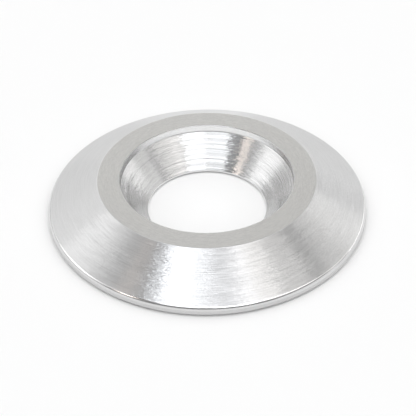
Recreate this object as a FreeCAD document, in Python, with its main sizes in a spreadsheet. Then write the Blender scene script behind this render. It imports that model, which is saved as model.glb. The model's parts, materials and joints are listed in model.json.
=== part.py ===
# Finishing cup washer for a countersunk screw, turned in one piece from aluminium bar.
# A flat base with a low upright rim, a straight conical flank up to a narrow flat land, and in the
# middle the seat of the screw: a short straight mouth, a countersink and a thin lip round the hole.
# Sizes are in millimetres. Z is the turning axis and points up out of the mouth, and the origin is
# the centre of the base.
import FreeCAD, Part
import os

import Sketcher

# Driving sizes: each is set here and nowhere else.
SIZES = [
    ("outer_diameter", 24.0, "across the rim"),
    ("height", 3.1, "from the base to the land"),
    ("rim_height", 0.7, "upright rim below the flank"),
    ("land_width", 1.7, "flat ring round the mouth"),
    ("mouth_depth", 0.55, "straight wall above the countersink"),
    ("countersink_angle", 82.0, "whole angle of the screw's head, in degrees"),
    ("lip_height", 0.25, "straight wall of the hole below the countersink"),
    ("bore_diameter", 9.0, "hole for the screw, inside the lip"),
    ("rim_edge_radius", 0.25, "round where the rim turns into the flank"),
    ("land_edge_radius", 0.08, "round where the flank turns into the land"),
    ("mouth_edge_radius", 0.05, "round where the land turns into the mouth"),
    ("base_edge_break", 0.2, "chamfer round the foot of the rim"),
    ("bore_edge_break", 0.1, "chamfer round the hole in the base"),
]

# Radii and heights that the solid is drawn from, measured from the turning axis and the base.
# The countersink opens from the hole above the lip, so it settles how wide the mouth is, and the
# land lies round the mouth.
AXIS = "0"
BASE = "0"
RIM_RADIUS = "sizes.outer_diameter / 2"
RIM_TOP = "sizes.rim_height"
LAND_HEIGHT = "sizes.height"
BORE_RADIUS = "sizes.bore_diameter / 2"
LIP_TOP = "sizes.lip_height"
SEAT_TOP = "sizes.height - sizes.mouth_depth"
MOUTH_RADIUS = f"{BORE_RADIUS} + ({SEAT_TOP} - {LIP_TOP}) * tan(sizes.countersink_angle / 2)"
LAND_RADIUS = f"{MOUTH_RADIUS} + sizes.land_width"

# Names that a sketch gives to its own origin, its axes and the two ends of a line.
HORIZONTAL_AXIS, VERTICAL_AXIS = -1, -2
START_POINT, END_POINT, CENTRE_POINT = 1, 2, 3

# Two lengths closer than this are the same.
SAME_LENGTH = 1e-6


def make_sheet(doc):
    """Puts each driving size in a named cell, beside a note of what it measures."""
    sheet = doc.addObject("Spreadsheet::Sheet", "sizes")
    for row, (name, value, note) in enumerate(SIZES, start=1):
        sheet.set(f"A{row}", name)
        sheet.set(f"B{row}", str(value))
        sheet.set(f"C{row}", note)
        sheet.setAlias(f"B{row}", name)
    doc.recompute()
    return sheet


def length_of(body, formula):
    """What a formula comes to with the sizes as they are now."""
    return float(body.evalExpression(formula))


def attach_sketch(body, name, role):
    """An empty sketch on the body's own origin plane of this role."""
    plane = next(plane for plane in body.Origin.OriginFeatures if plane.Role == role)
    sketch = body.newObject("Sketcher::SketchObject", name)
    sketch.AttachmentSupport = [(plane, "")]
    sketch.MapMode = "FlatFace"
    return sketch


def dimension(sketch, kind, line, name, length, formula):
    """Places a line's start at a distance from the sketch's origin, and ties it to the sizes."""
    origin = (HORIZONTAL_AXIS, START_POINT)
    number = sketch.addConstraint(Sketcher.Constraint(kind, *origin, line, START_POINT, length))
    sketch.renameConstraint(number, name)
    sketch.setExpression(f"Constraints.{name}", formula)


def draw_half_section(body, name, corners):
    """A closed half section beside the turning axis, from each corner's name, radius and height.

    The first and the last corner lie on the axis. A corner that has the radius or the height of the
    corner before it is joined to it by an upright or a level line, and every other radius and height
    is a dimension.
    """
    sketch = attach_sketch(body, name, "XZ_Plane")
    lengths = [(length_of(body, radius), length_of(body, height)) for _, radius, height in corners]
    points = [FreeCAD.Vector(radius, height, 0) for radius, height in lengths]
    for start, end in zip(points, points[1:] + points[:1]):
        sketch.addGeometry(Part.LineSegment(start, end), False)
    for line in range(len(corners)):
        following = (line + 1) % len(corners)
        sketch.addConstraint(
            Sketcher.Constraint("Coincident", line, END_POINT, following, START_POINT)
        )
    before = (None, None)
    for line, (label, radius, height) in enumerate(corners):
        if radius == AXIS:
            on_axis = Sketcher.Constraint("PointOnObject", line, START_POINT, VERTICAL_AXIS)
            sketch.addConstraint(on_axis)
        elif radius == before[0]:
            sketch.addConstraint(Sketcher.Constraint("Vertical", line - 1))
        else:
            dimension(sketch, "DistanceX", line, f"{label}_radius", lengths[line][0], radius)
        if height == before[1]:
            sketch.addConstraint(Sketcher.Constraint("Horizontal", line - 1))
        elif height == BASE:
            on_base = Sketcher.Constraint("PointOnObject", line, START_POINT, HORIZONTAL_AXIS)
            sketch.addConstraint(on_base)
        else:
            dimension(sketch, "DistanceY", line, f"{label}_height", lengths[line][1], height)
        before = (radius, height)
    return sketch


def turn(body, kind, name, section):
    """Turns a half section once round the axis, to add or to remove what it sweeps."""
    feature = body.newObject(f"PartDesign::{kind}", name)
    feature.Profile = section
    feature.ReferenceAxis = (section, ["V_Axis"])
    feature.Angle = 360.0
    return feature


def drill(body, name, radius, formula):
    """A round hole on the axis, from the base up through everything."""
    circle = attach_sketch(body, f"{name}_circle", "XY_Plane")
    centre = FreeCAD.Vector(0, 0, 0)
    upwards = FreeCAD.Vector(0, 0, 1)
    circle.addGeometry(Part.Circle(centre, upwards, radius), False)
    circle.addConstraint(
        Sketcher.Constraint("Coincident", 0, CENTRE_POINT, HORIZONTAL_AXIS, START_POINT)
    )
    number = circle.addConstraint(Sketcher.Constraint("Radius", 0, radius))
    circle.renameConstraint(number, "hole_radius")
    circle.setExpression("Constraints.hole_radius", formula)
    feature = body.newObject("PartDesign::Pocket", name)
    feature.Profile = circle
    feature.Type = "ThroughAll"
    feature.Reversed = True
    return feature


def require_cut(feature, before):
    """Stops the build where a cut has missed the solid."""
    if feature.Shape.Volume > before.Shape.Volume - SAME_LENGTH:
        raise RuntimeError(f"{feature.Label} has cut nothing")


def ring_name(feature, radius, height):
    """The name of the solid's round edge of this radius at this height."""
    for number, edge in enumerate(feature.Shape.Edges, start=1):
        curve = edge.Curve
        if not isinstance(curve, Part.Circle):
            continue
        right_radius = abs(curve.Radius - radius) < SAME_LENGTH
        right_height = abs(curve.Center.z - height) < SAME_LENGTH
        if right_radius and right_height:
            return f"Edge{number}"
    raise RuntimeError(f"{feature.Label} has no round edge of radius {radius} at height {height}")


def break_edge(body, base, kind, name, size, radius, height):
    """Rounds or chamfers the round edge that lies at this radius and height."""
    edge = ring_name(base, length_of(body, radius), length_of(body, height))
    feature = body.newObject(f"PartDesign::{kind}", name)
    feature.Base = (base, [edge])
    feature.setExpression("Radius" if kind == "Fillet" else "Size", size)
    body.Document.recompute()
    require_cut(feature, base)
    return feature


def make_washer(doc):
    """The washer, made in the order in which it is turned: outside, hole, seat, then its edges."""
    body = doc.addObject("PartDesign::Body", "cup_washer")
    body.Label = "cup_washer"
    body.Placement = FreeCAD.Placement()

    # The blank has the rim, the conical flank and the land.
    blank_section = draw_half_section(body, "blank_section", [
        ("base_centre", AXIS, BASE),
        ("rim_foot", RIM_RADIUS, BASE),
        ("rim_top", RIM_RADIUS, RIM_TOP),
        ("land_edge", LAND_RADIUS, LAND_HEIGHT),
        ("land_centre", AXIS, LAND_HEIGHT),
    ])
    blank = turn(body, "Revolution", "blank", blank_section)
    doc.recompute()

    bore = drill(body, "bore", length_of(body, BORE_RADIUS), BORE_RADIUS)
    doc.recompute()
    require_cut(bore, blank)

    # The seat is the countersink above the lip, and the straight mouth above the countersink.
    seat_section = draw_half_section(body, "seat_section", [
        ("lip_centre", AXIS, LIP_TOP),
        ("lip_edge", BORE_RADIUS, LIP_TOP),
        ("seat_edge", MOUTH_RADIUS, SEAT_TOP),
        ("mouth_edge", MOUTH_RADIUS, LAND_HEIGHT),
        ("mouth_centre", AXIS, LAND_HEIGHT),
    ])
    seat = turn(body, "Groove", "seat", seat_section)
    doc.recompute()
    require_cut(seat, bore)

    # Every outer corner is eased a little, as a file or a form tool leaves it.
    edges = [
        ("Fillet", "rim_edge", "sizes.rim_edge_radius", RIM_RADIUS, RIM_TOP),
        ("Fillet", "land_edge", "sizes.land_edge_radius", LAND_RADIUS, LAND_HEIGHT),
        ("Fillet", "mouth_edge", "sizes.mouth_edge_radius", MOUTH_RADIUS, LAND_HEIGHT),
        ("Chamfer", "base_edge", "sizes.base_edge_break", RIM_RADIUS, BASE),
        ("Chamfer", "bore_edge", "sizes.bore_edge_break", BORE_RADIUS, BASE),
    ]
    latest = seat
    for kind, name, size, radius, height in edges:
        latest = break_edge(body, latest, kind, name, size, radius, height)
    body.Tip = latest
    doc.recompute()
    return body


def require_sound(doc, bodies):
    """Stops the build unless every feature has worked out and every body is one good solid."""
    for item in doc.Objects:
        if "Invalid" in item.State or "Error" in item.State:
            raise RuntimeError(f"{item.Label} has failed: {item.State}")
    for body in bodies:
        shape = body.Shape
        if shape.isNull() or not shape.isValid() or len(shape.Solids) != 1:
            raise RuntimeError(f"{body.Label} is not one good solid")


doc = FreeCAD.newDocument("cup_washer_model")
make_sheet(doc)
washer = make_washer(doc)
require_sound(doc, [washer])

os.makedirs("parts", exist_ok=True)
washer.Shape.exportStep(f"parts/{washer.Label}.step")
size = washer.Shape.optimalBoundingBox(False, False)
print(f"{washer.Label}: {size.XLength:.3f} x {size.YLength:.3f} x {size.ZLength:.3f} mm")
print(f"volume {washer.Shape.Volume:.2f} cubic mm")
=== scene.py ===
# A finishing cup washer, turned in one piece from aluminium bar, on white paper in a small studio.
# Everything is in metres, in the washer's own frame: the base's centre is the origin and Z points up.
import json
import math

import bpy
from mathutils import Matrix, Vector


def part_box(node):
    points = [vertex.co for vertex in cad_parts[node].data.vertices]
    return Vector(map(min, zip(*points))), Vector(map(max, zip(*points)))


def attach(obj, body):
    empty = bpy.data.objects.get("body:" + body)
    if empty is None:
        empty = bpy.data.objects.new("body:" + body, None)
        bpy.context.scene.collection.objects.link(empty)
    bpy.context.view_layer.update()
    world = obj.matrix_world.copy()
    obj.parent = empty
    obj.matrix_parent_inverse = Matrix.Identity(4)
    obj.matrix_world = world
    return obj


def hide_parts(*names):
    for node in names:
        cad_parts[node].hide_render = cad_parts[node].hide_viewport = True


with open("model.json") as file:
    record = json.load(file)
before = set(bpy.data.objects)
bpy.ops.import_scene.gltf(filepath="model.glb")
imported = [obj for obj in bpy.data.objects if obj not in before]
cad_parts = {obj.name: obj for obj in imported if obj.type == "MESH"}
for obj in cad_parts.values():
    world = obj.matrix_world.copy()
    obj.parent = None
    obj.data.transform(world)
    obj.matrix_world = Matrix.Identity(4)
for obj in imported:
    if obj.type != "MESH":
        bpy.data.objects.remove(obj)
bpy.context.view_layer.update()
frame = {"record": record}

# The washer's outline
# The bar is turned and faced to a low cone, then drilled and countersunk. The outline below is the
# path of the tool round one half section, and the mesh is that path taken once round the axis.
MM = 0.001

low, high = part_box("cup_washer")
mounts = {mount["name"]: mount for mount in frame["record"]["mounts"]}
bore = mounts["screw_bore"]
mouth = mounts["head_recess"]

BASE = 0.0
RIM_RADIUS = (high.x - low.x) / 2
HEIGHT = high.z
BORE_RADIUS = bore["dims"]["r_mm"] * MM
MOUTH_RADIUS = mouth["dims"]["r_mm"] * MM
LIP_TOP = bore["pos_m"][2] + bore["dims"]["length_mm"] * MM / 2
SEAT_TOP = mouth["pos_m"][2] - mouth["dims"]["length_mm"] * MM / 2
RIM_HEIGHT = 0.7 * MM
LAND_WIDTH = 1.7 * MM
LAND_RADIUS = MOUTH_RADIUS + LAND_WIDTH

ROUND_STEPS = 720
WELD_DISTANCE = 0.0001 * MM

tool_path = [
    (RIM_RADIUS, RIM_HEIGHT),
    (LAND_RADIUS, HEIGHT),
    (MOUTH_RADIUS, HEIGHT),
    (MOUTH_RADIUS, SEAT_TOP),
    (BORE_RADIUS, LIP_TOP),
    (BORE_RADIUS, BASE),
    (RIM_RADIUS, BASE),
]


def carry_ring(at_radius, at_height, path):
    """Extrudes the selected ring of edges, which lies at this radius and height, along a path."""
    for radius, height in path:
        bpy.ops.mesh.extrude_edges_move(TRANSFORM_OT_translate={"value": (0, 0, height - at_height)})
        growth = radius / at_radius
        bpy.ops.transform.resize(value=(growth, growth, 1), center_override=(0, 0, 0))
        at_radius, at_height = radius, height


bpy.ops.object.select_all(action="DESELECT")
bpy.ops.mesh.primitive_circle_add(vertices=ROUND_STEPS, radius=RIM_RADIUS, fill_type="NOTHING")
washer = bpy.context.object
washer.name = "cup_washer_turned"
washer.data.name = "cup_washer_turned"
bpy.ops.object.mode_set(mode="EDIT")
bpy.ops.mesh.select_all(action="SELECT")
carry_ring(RIM_RADIUS, BASE, tool_path)
bpy.ops.mesh.select_all(action="SELECT")
bpy.ops.mesh.remove_doubles(threshold=WELD_DISTANCE)
bpy.ops.mesh.normals_make_consistent(inside=False)
bpy.ops.object.mode_set(mode="OBJECT")

# Its edges
# The tool leaves no sharp corner. The rim, the land, the mouth and the two corners of the seat are
# rounded a little, and the base and the hole are chamfered. Each is a narrow band of its own, which
# the eye sees as a hairline round the part.
RIM_EDGE = 0.20 * MM
LAND_EDGE = 0.025 * MM
MOUTH_EDGE = 0.05 * MM
CORNER_EDGE = 0.06 * MM
LIP_EDGE = 0.03 * MM
BASE_EDGE = 0.20 * MM
BORE_EDGE = 0.14 * MM

EDGE_STEPS = 4
CHAMFER_STEPS = 1
ROUND_PROFILE = 0.5
RING_NEARNESS = 0.001 * MM
SMOOTH_ANGLE = math.radians(32)

# A face has the first finish until it is given another.
# Several finishes are the first one's aluminium with its colour painted paler or darker: painted
# highlight and painted shade.
FINISHES = [
    "aluminium_fine_turned",
    "aluminium_faced_painted_sheen",
    "aluminium_countersunk_painted_shade",
    "aluminium_plain_turned_painted_shade",
    "aluminium_bored_painted_highlight",
    "aluminium_matt_edge_painted_highlight",
    "aluminium_smooth_edge",
    "aluminium_coarse_faced",
]


def break_ring(radius, height, width, steps, finish="aluminium_smooth_edge"):
    """Bevels the ring of edges that lies at this radius and height."""
    bpy.ops.object.mode_set(mode="EDIT")
    bpy.ops.mesh.select_all(action="DESELECT")
    bpy.ops.object.mode_set(mode="OBJECT")
    points = washer.data.vertices
    for edge in washer.data.edges:
        ends = [points[index].co for index in edge.vertices]
        edge.select = all(
            abs(Vector(end.xy).length - radius) < RING_NEARNESS and abs(end.z - height) < RING_NEARNESS
            for end in ends
        )
    bpy.ops.object.mode_set(mode="EDIT")
    bpy.ops.mesh.select_mode(type="EDGE")
    bpy.ops.mesh.bevel(
        offset=width, segments=steps, profile=ROUND_PROFILE, affect="EDGES", harden_normals=True,
        material=FINISHES.index(finish),
    )
    bpy.ops.object.mode_set(mode="OBJECT")


bpy.ops.object.shade_smooth_by_angle(angle=SMOOTH_ANGLE)
for finish in FINISHES:
    washer.data.materials.append(bpy.data.materials.new(finish))

break_ring(RIM_RADIUS, RIM_HEIGHT, RIM_EDGE, EDGE_STEPS)
break_ring(LAND_RADIUS, HEIGHT, LAND_EDGE, EDGE_STEPS, "aluminium_matt_edge_painted_highlight")
break_ring(MOUTH_RADIUS, HEIGHT, MOUTH_EDGE, EDGE_STEPS)
break_ring(MOUTH_RADIUS, SEAT_TOP, CORNER_EDGE, EDGE_STEPS)
break_ring(BORE_RADIUS, LIP_TOP, LIP_EDGE, EDGE_STEPS)
break_ring(RIM_RADIUS, BASE, BASE_EDGE, CHAMFER_STEPS)
break_ring(BORE_RADIUS, BASE, BORE_EDGE, CHAMFER_STEPS)

# Its finishes
# Bare aluminium, straight from the lathe. The tool's marks run round the axis on every surface, so a
# light draws out into a streak across them, with ragged ends where one mark tilts unlike the next.

# A face is level where its normal's height is past the first value, and upright below the second.
LEVEL = 0.99
UPRIGHT = 0.05

for face in washer.data.polygons:
    is_broken_edge = face.material_index != 0
    if is_broken_edge:
        continue
    radius = Vector(face.center.xy).length
    is_upright = abs(face.normal.z) < UPRIGHT
    if face.normal.z > LEVEL:
        finish = "aluminium_faced_painted_sheen"
    elif face.normal.z < -LEVEL:
        finish = "aluminium_coarse_faced"
    elif is_upright and radius > LAND_RADIUS:
        finish = "aluminium_plain_turned_painted_shade"
    elif is_upright:
        finish = "aluminium_bored_painted_highlight"
    elif radius > LAND_RADIUS:
        finish = "aluminium_fine_turned"
    else:
        finish = "aluminium_countersunk_painted_shade"
    face.material_index = FINISHES.index(finish)


def linear(hex_colour):
    """An sRGB hex colour as linear red, green, blue and alpha."""
    channels = [int(hex_colour[place:place + 2], 16) / 255 for place in (1, 3, 5)]
    return [c / 12.92 if c <= 0.04045 else ((c + 0.055) / 1.055) ** 2.4 for c in channels] + [1.0]


def add_node(tree, kind, inputs=(), **settings):
    """Adds a node with its settings, and gives its sockets values or links from other sockets."""
    node = tree.nodes.new(kind)
    for name, value in settings.items():
        setattr(node, name, value)
    for name, value in dict(inputs).items():
        if isinstance(value, bpy.types.NodeSocket):
            tree.links.new(value, node.inputs[name])
        else:
            node.inputs[name].default_value = value
    return node


# A pixel of the photo covers about 0.08 mm, and marks much finer than half of that would blend into
# an even grey. So they are drawn 0.04 to 0.15 mm wide, as coarse as they need to be to show.
GRAIN_DETAIL = 2.0
LINE_DETAIL = 1.0
MARK_ROUGHNESS = 0.6
NOISE_MIDDLE = 0.5


def turned_metal(finish, colour, roughness, anisotropy, grain, lines, shade):
    """Turned aluminium, whose marks run round the axis.

    grain and lines are each a length, a width and a tilt: the grain is short marks that tilt along
    their run, and the lines are long ones that tilt across it. shade is how much lighter or darker
    one mark is than another.
    """
    material = bpy.data.materials[finish]
    material.use_nodes = True
    tree = material.node_tree
    tree.nodes.clear()
    place = add_node(tree, "ShaderNodeTexCoord").outputs["Object"]
    normal = add_node(tree, "ShaderNodeNewGeometry").outputs["Normal"]
    flat = add_node(tree, "ShaderNodeVectorMath", {0: place, 1: (1, 1, 0)}, operation="MULTIPLY")
    radius = add_node(tree, "ShaderNodeVectorMath", {0: flat.outputs[0]}, operation="LENGTH")
    outward = add_node(tree, "ShaderNodeVectorMath", {0: flat.outputs[0]}, operation="NORMALIZE")
    round_axis = add_node(
        tree, "ShaderNodeVectorMath", {0: (0, 0, 1), 1: outward.outputs[0]}, operation="CROSS_PRODUCT"
    )
    across = add_node(
        tree, "ShaderNodeVectorMath", {0: round_axis.outputs[0], 1: normal}, operation="CROSS_PRODUCT"
    )

    def marks(length, width, detail):
        """Noise drawn out round the axis: length along the marks, width across them."""
        turns = LAND_RADIUS / length
        around = add_node(
            tree, "ShaderNodeVectorMath", {0: outward.outputs[0], "Scale": turns}, operation="SCALE"
        )
        upwards = add_node(
            tree, "ShaderNodeVectorMath", {0: place, 1: (0, 0, 1 / width)}, operation="MULTIPLY"
        )
        both = add_node(
            tree, "ShaderNodeVectorMath", {0: around.outputs[0], 1: upwards.outputs[0]}, operation="ADD"
        )
        steps = add_node(
            tree, "ShaderNodeMath", {0: radius.outputs["Value"], 1: 1 / width}, operation="MULTIPLY"
        )
        noise = add_node(
            tree, "ShaderNodeTexNoise",
            {"Vector": both.outputs[0], "W": steps.outputs[0], "Scale": 1.0, "Detail": detail,
             "Roughness": MARK_ROUGHNESS},
            noise_dimensions="4D",
        )
        return add_node(
            tree, "ShaderNodeMath", {0: noise.outputs[0], 1: NOISE_MIDDLE}, operation="SUBTRACT"
        ).outputs[0]

    grain_length, grain_width, grain_tilt = grain
    line_length, line_width, line_tilt = lines
    short_marks = marks(grain_length, grain_width, GRAIN_DETAIL)
    long_marks = marks(line_length, line_width, LINE_DETAIL)

    # Each mark turns the surface a little, along its run or across it.
    swayed = add_node(tree, "ShaderNodeMath", {0: short_marks, 1: grain_tilt}, operation="MULTIPLY")
    dipped = add_node(tree, "ShaderNodeMath", {0: long_marks, 1: line_tilt}, operation="MULTIPLY")
    tilt_round = add_node(
        tree, "ShaderNodeVectorMath", {0: round_axis.outputs[0], "Scale": swayed.outputs[0]},
        operation="SCALE",
    )
    tilt_across = add_node(
        tree, "ShaderNodeVectorMath", {0: across.outputs[0], "Scale": dipped.outputs[0]},
        operation="SCALE",
    )
    tilt = add_node(
        tree, "ShaderNodeVectorMath", {0: tilt_round.outputs[0], 1: tilt_across.outputs[0]},
        operation="ADD",
    )
    tilted = add_node(
        tree, "ShaderNodeVectorMath", {0: normal, 1: tilt.outputs[0]}, operation="ADD"
    )
    facing = add_node(tree, "ShaderNodeVectorMath", {0: tilted.outputs[0]}, operation="NORMALIZE")

    # Each mark is also a little lighter or darker than the next.
    both_marks = add_node(tree, "ShaderNodeMath", {0: short_marks, 1: long_marks}, operation="ADD")
    darker = add_node(
        tree, "ShaderNodeMath", {0: both_marks.outputs[0], 1: shade, 2: 1.0}, operation="MULTIPLY_ADD"
    )
    shaded = add_node(
        tree, "ShaderNodeVectorMath", {0: linear(colour)[:3], "Scale": darker.outputs[0]},
        operation="SCALE",
    )
    metal = add_node(
        tree, "ShaderNodeBsdfPrincipled",
        {"Base Color": shaded.outputs[0], "Metallic": 1.0, "Roughness": roughness,
         "Anisotropic": anisotropy, "Normal": facing.outputs[0], "Tangent": across.outputs[0]},
    )
    add_node(tree, "ShaderNodeOutputMaterial", {"Surface": metal.outputs[0]})


# The flank, turned with a fine feed. The eye sees soft fans of light, whose borders break up into
# short dashes.
turned_metal(
    "aluminium_fine_turned", "#DBDBDB", roughness=0.28, anisotropy=1.0,
    grain=(0.12 * MM, 0.04 * MM, 0.34), lines=(1.4 * MM, 0.045 * MM, 0.26), shade=0.20,
)

# The land, faced flat. Its marks are short and it is the roughest surface, so the eye sees an even,
# slightly warm grey with a fine grain. Its colour is painted paler than the flank's aluminium, a
# painted sheen that lifts the whole land to the brightness it shows.
turned_metal(
    "aluminium_faced_painted_sheen", "#EEEDEA", roughness=0.50, anisotropy=0.3,
    grain=(0.10 * MM, 0.06 * MM, 0.20), lines=(0.5 * MM, 0.06 * MM, 0.05), shade=0.25,
)

# The seat, cut by a countersink. Its marks are the longest, so the eye sees long arcs, crossed by
# narrow bright and dark streaks. Its colour is painted a little darker than the flank's aluminium, a
# painted shade over the whole seat.
turned_metal(
    "aluminium_countersunk_painted_shade", "#D1D1D1", roughness=0.24, anisotropy=1.0,
    grain=(0.50 * MM, 0.04 * MM, 0.34), lines=(12 * MM, 0.09 * MM, 0.38), shade=0.28,
)

# The rim, turned straight. The eye sees an even band below the flank. Its colour is painted a little
# darker than the flank's aluminium, a painted shade over the band.
turned_metal(
    "aluminium_plain_turned_painted_shade", "#D3D3D3", roughness=0.25, anisotropy=0.8,
    grain=(2 * MM, 0.06 * MM, 0.10), lines=(9 * MM, 0.10 * MM, 0.3), shade=0.15,
)

# The walls of the mouth and of the hole, bored straight. The eye sees two thin pale bands, above and
# below the seat: a painted highlight, as their colour is painted paler than the flank's aluminium.
turned_metal(
    "aluminium_bored_painted_highlight", "#F4F4F4", roughness=0.25, anisotropy=0.8,
    grain=(2 * MM, 0.06 * MM, 0.10), lines=(9 * MM, 0.10 * MM, 0.3), shade=0.15,
)

# The land's outer edge, broken and left matt. The eye sees a pale hairline round the land, a painted
# highlight: the edge's colour is painted paler than the flank's aluminium.
turned_metal(
    "aluminium_matt_edge_painted_highlight", "#F4F4F4", roughness=0.40, anisotropy=0.0,
    grain=(2 * MM, 0.06 * MM, 0.10), lines=(9 * MM, 0.10 * MM, 0.1), shade=0.10,
)

# The other edges, broken smooth. The eye sees sharp hairlines, bright where they mirror a lamp and
# dark elsewhere.
turned_metal(
    "aluminium_smooth_edge", "#DBDBDB", roughness=0.17, anisotropy=0.0,
    grain=(2 * MM, 0.06 * MM, 0.02), lines=(9 * MM, 0.10 * MM, 0.03), shade=0.10,
)

# The base, which the photo hides, so its finish is a guess: faced with a coarser feed. The eye sees
# wide, plain rings.
turned_metal(
    "aluminium_coarse_faced", "#DBDBDB", roughness=0.30, anisotropy=0.9,
    grain=(3 * MM, 0.12 * MM, 0.15), lines=(9 * MM, 0.15 * MM, 0.5), shade=0.20,
)

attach(washer, "root")
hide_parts("cup_washer")

# The table
# Matt white paper, flat under the washer and curving up to a low wall far round it. It is the white
# that the metal mirrors below the lamps, and it keeps the washer's soft shadow.
PAPER = "#F4F4F4"
TABLE_RADIUS = 0.30
TABLE_STEPS = 96
COVE_RADIUS = 0.12
COVE_STEPS = 12
COVE_ANGLE = math.radians(60)

cove_angles = [COVE_ANGLE * step / COVE_STEPS for step in range(1, COVE_STEPS + 1)]
cove_path = [
    (TABLE_RADIUS + COVE_RADIUS * math.sin(angle), COVE_RADIUS * (1 - math.cos(angle)))
    for angle in cove_angles
]

bpy.ops.object.select_all(action="DESELECT")
bpy.ops.mesh.primitive_circle_add(vertices=TABLE_STEPS, radius=TABLE_RADIUS, fill_type="NGON")
table = bpy.context.object
table.name = "paper_table"
bpy.ops.object.mode_set(mode="EDIT")
bpy.ops.mesh.select_mode(type="EDGE")
bpy.ops.mesh.select_all(action="SELECT")
bpy.ops.mesh.region_to_loop()
carry_ring(TABLE_RADIUS, BASE, cove_path)
bpy.ops.object.mode_set(mode="OBJECT")
bpy.ops.object.shade_smooth_by_angle(angle=SMOOTH_ANGLE)

# Plain uncoated paper. The eye sees an even white without gloss.
paper = bpy.data.materials.new("matt_white_paper")
paper.use_nodes = True
tree = paper.node_tree
tree.nodes.clear()
matt = add_node(tree, "ShaderNodeBsdfDiffuse", {"Color": linear(PAPER)})
add_node(tree, "ShaderNodeOutputMaterial", {"Surface": matt.outputs[0]})
table.data.materials.append(paper)

# The lamps
# Soft panels round the washer. Each is a patch of light that the metal mirrors, and the gaps between
# them are the grey bands that fan out over the flank and the seat. Two more light only the paper.
LAMP_DISTANCE = 0.60


def softbox(name, azimuth, elevation, wide, high, radiance, colour, paper_only=False):
    """A lit panel in this direction from the washer, wide and high in degrees as seen from it."""
    turn = math.radians(azimuth)
    rise = math.radians(elevation)
    towards = Vector((math.cos(turn) * math.cos(rise), math.sin(turn) * math.cos(rise), math.sin(rise)))
    bpy.ops.object.light_add(type="AREA", location=towards * LAMP_DISTANCE)
    lamp = bpy.context.object
    lamp.name = name
    lamp.rotation_euler = (math.pi / 2 - rise, 0, turn + math.pi / 2)
    lamp.data.shape = "RECTANGLE"
    lamp.data.size = 2 * LAMP_DISTANCE * math.tan(math.radians(wide) / 2)
    lamp.data.size_y = 2 * LAMP_DISTANCE * math.tan(math.radians(high) / 2)
    lamp.data.energy = math.pi * lamp.data.size * lamp.data.size_y * radiance
    lamp.data.color = linear(colour)[:3]
    lamp.visible_camera = False
    lamp.visible_diffuse = paper_only
    lamp.visible_glossy = not paper_only


softbox("overhead_left", 214, 74, 16, 27, 2.67, "#F8FBFF")
softbox("overhead_right", 330, 65, 17, 17, 1.90, "#FFFDFB")
softbox("front_right", 288, 50, 26, 31, 2.45, "#FBFCFF")
softbox("right", 332, 45, 35, 20, 1.66, "#FFFDFB")
softbox("right_low", 21, 31, 46, 28, 0.80, "#FFFEFC")
softbox("right_front_low", 340, 13, 44, 9, 0.50, "#FFFFFF")
softbox("right_back", 42, 14, 55, 7, 1.98, "#FFFFFF")
softbox("back", 93, 17, 42, 27, 1.08, "#FFFFFF")
softbox("left_back", 152, 26, 70, 24, 1.03, "#FFFFFF")
softbox("left", 177, 35, 43, 41, 0.62, "#FFFFFF")
softbox("warm_strip", 213, 30, 10, 12, 3.7, "#FFF1E7")
softbox("left_high", 250, 52, 23, 30, 1.95, "#FAFCFF")
softbox("paper_overhead", 90, 90, 36, 36, 1.86, "#FFFFFF", paper_only=True)
softbox("paper_room", 90, 90, 120, 120, 0.875, "#FFFFFF", paper_only=True)

# The room
# One dim white all round, behind the lamps. It is what the metal mirrors in the gaps between the
# lamps.
ROOM_WHITE = "#FFFFFF"
ROOM_STRENGTH = 0.27

world = bpy.data.worlds.new("studio")
bpy.context.scene.world = world
world.use_nodes = True
world.node_tree.nodes["Background"].inputs["Color"].default_value = linear(ROOM_WHITE)
world.node_tree.nodes["Background"].inputs["Strength"].default_value = ROOM_STRENGTH

# The camera
# Where the photograph was taken from: in front of the washer, looking down by 39 degrees. It aims
# about a tenth of a millimetre off the base's centre and is rolled by three quarters of a degree.
CAMERA_RISE = math.radians(39.07)
CAMERA_DISTANCE = 122.2 * MM
CAMERA_ROLL = math.radians(0.748)
SENSOR_WIDTH_IN_MM = 36.0
LENS_IN_MM = 139.3
NEAREST = 1 * MM
FARTHEST = 5.0
AIM_RIGHT = 0.059 * MM
AIM_UP = 0.019 * MM
AIM_HEIGHT = Vector((0, 0, 0.07 * MM))

back = Vector((0, -math.cos(CAMERA_RISE), math.sin(CAMERA_RISE)))
right = Vector((1, 0, 0))
up = back.cross(right)
aim = right * AIM_RIGHT + up * AIM_UP
looking = (aim - back * CAMERA_DISTANCE).normalized()
turned = Matrix.Rotation(CAMERA_ROLL, 3, looking)
camera_right = turned @ looking.cross(up).normalized()
camera_up = camera_right.cross(looking)
bpy.ops.object.camera_add(location=AIM_HEIGHT + back * CAMERA_DISTANCE)
camera = bpy.context.object
camera.name = "camera"
axes = Matrix((camera_right, camera_up, -looking)).transposed()
camera.rotation_euler = axes.to_euler()
camera.data.sensor_width = SENSOR_WIDTH_IN_MM
camera.data.lens = LENS_IN_MM
camera.data.clip_start = NEAREST
camera.data.clip_end = FARTHEST
bpy.context.scene.camera = camera
bpy.context.scene.view_settings.view_transform = "Standard"
